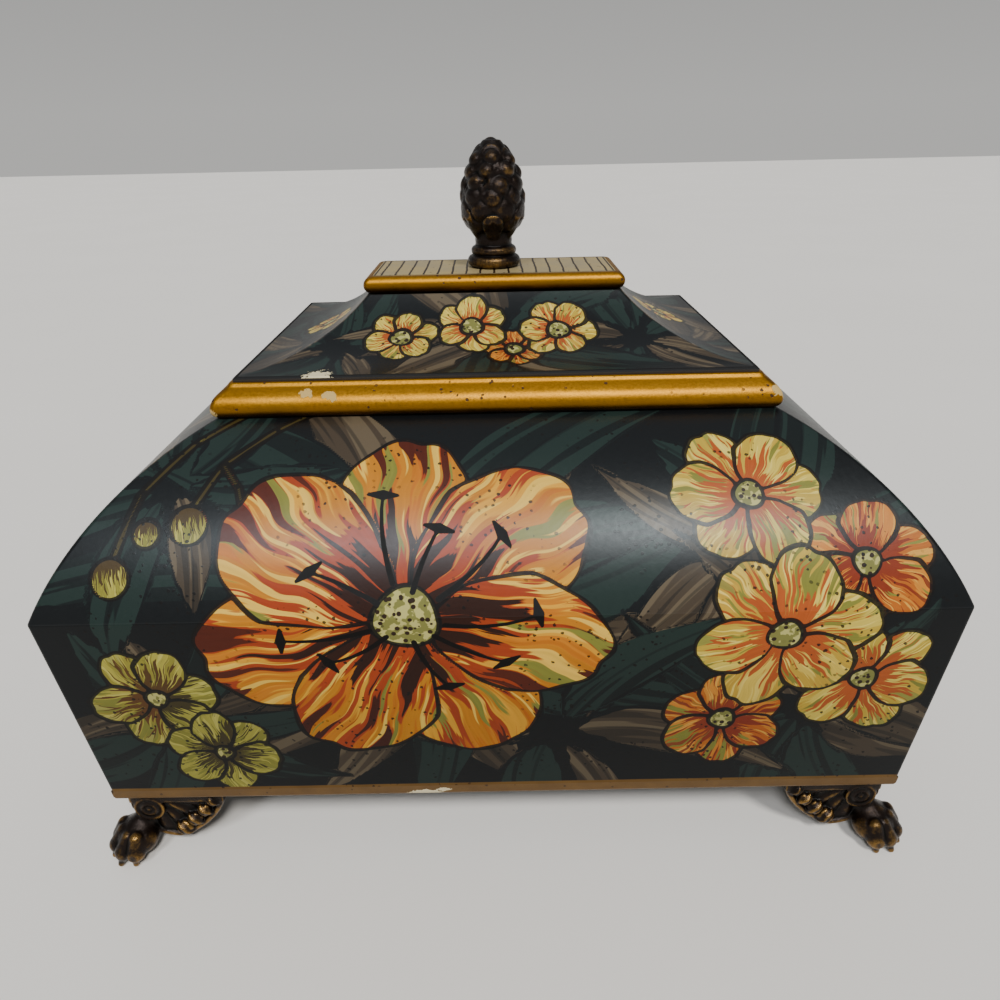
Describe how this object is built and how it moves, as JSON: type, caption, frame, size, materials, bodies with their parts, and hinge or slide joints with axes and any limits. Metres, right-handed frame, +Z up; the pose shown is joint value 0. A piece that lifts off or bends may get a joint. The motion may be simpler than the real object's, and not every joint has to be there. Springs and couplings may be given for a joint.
{
  "type": "keepsake box",
  "caption": "Painted keepsake casket with swelling mitred walls, claw feet and a stepped lift-off lid topped by a pine-cone finial.",
  "frame": {"origin": "on the floor under the middle of the casket", "axes": "+X along the long front, -Y out of the front, +Z up"},
  "size_m": [0.3456, 0.2796, 0.2791],
  "materials": {
    "painted_board": "black ground with painted leaves and blossoms under a semi-gloss varnish",
    "dark_wood": "plain dark paint, satin",
    "antique_gold": "antique gold paint over gesso, rubbed and speckled",
    "striped_champagne": "champagne paint with dark hand-drawn pinstripes",
    "antique_bronze": "dark patinated casting, rubbed bright on the high spots",
    "steel": "zinc-plated, dull"
  },
  "bodies": {
    "casket": {"bottom_board": "painted_board", "lower_front_board": "painted_board", "lower_right_board": "painted_board", "lower_back_board": "painted_board", "lower_left_board": "painted_board", "shoulder_front_panel": "painted_board", "shoulder_right_panel": "painted_board", "shoulder_back_panel": "painted_board", "shoulder_left_panel": "painted_board", "rim_strip_front": "dark_wood", "rim_strip_right": "dark_wood", "rim_strip_back": "dark_wood", "rim_strip_left": "dark_wood", "foot_front_right": "antique_bronze", "foot_back_right": "antique_bronze", "foot_back_left": "antique_bronze", "foot_front_left": "antique_bronze", "foot_screws": "steel"},
    "lid": {"lid_moulding_front": "antique_gold", "lid_moulding_right": "antique_gold", "lid_moulding_back": "antique_gold", "lid_moulding_left": "antique_gold", "lid_lip_front": "dark_wood", "lid_lip_right": "dark_wood", "lid_lip_back": "dark_wood", "lid_lip_left": "dark_wood", "lid_panel_front": "painted_board", "lid_panel_right": "painted_board", "lid_panel_back": "painted_board", "lid_panel_left": "painted_board", "top_plate": "striped_champagne", "plate_bead_front": "antique_gold", "plate_bead_right": "antique_gold", "plate_bead_back": "antique_gold", "plate_bead_left": "antique_gold", "finial": "antique_bronze", "finial_stud": "steel", "finial_washer": "steel", "finial_nut": "steel"}
  },
  "joints": [
    {"name": "lid_lift", "type": "slide", "parent": "casket", "child": "lid", "axis": [0, 0, 1], "range_m": [0, 0.12]}
  ]
}
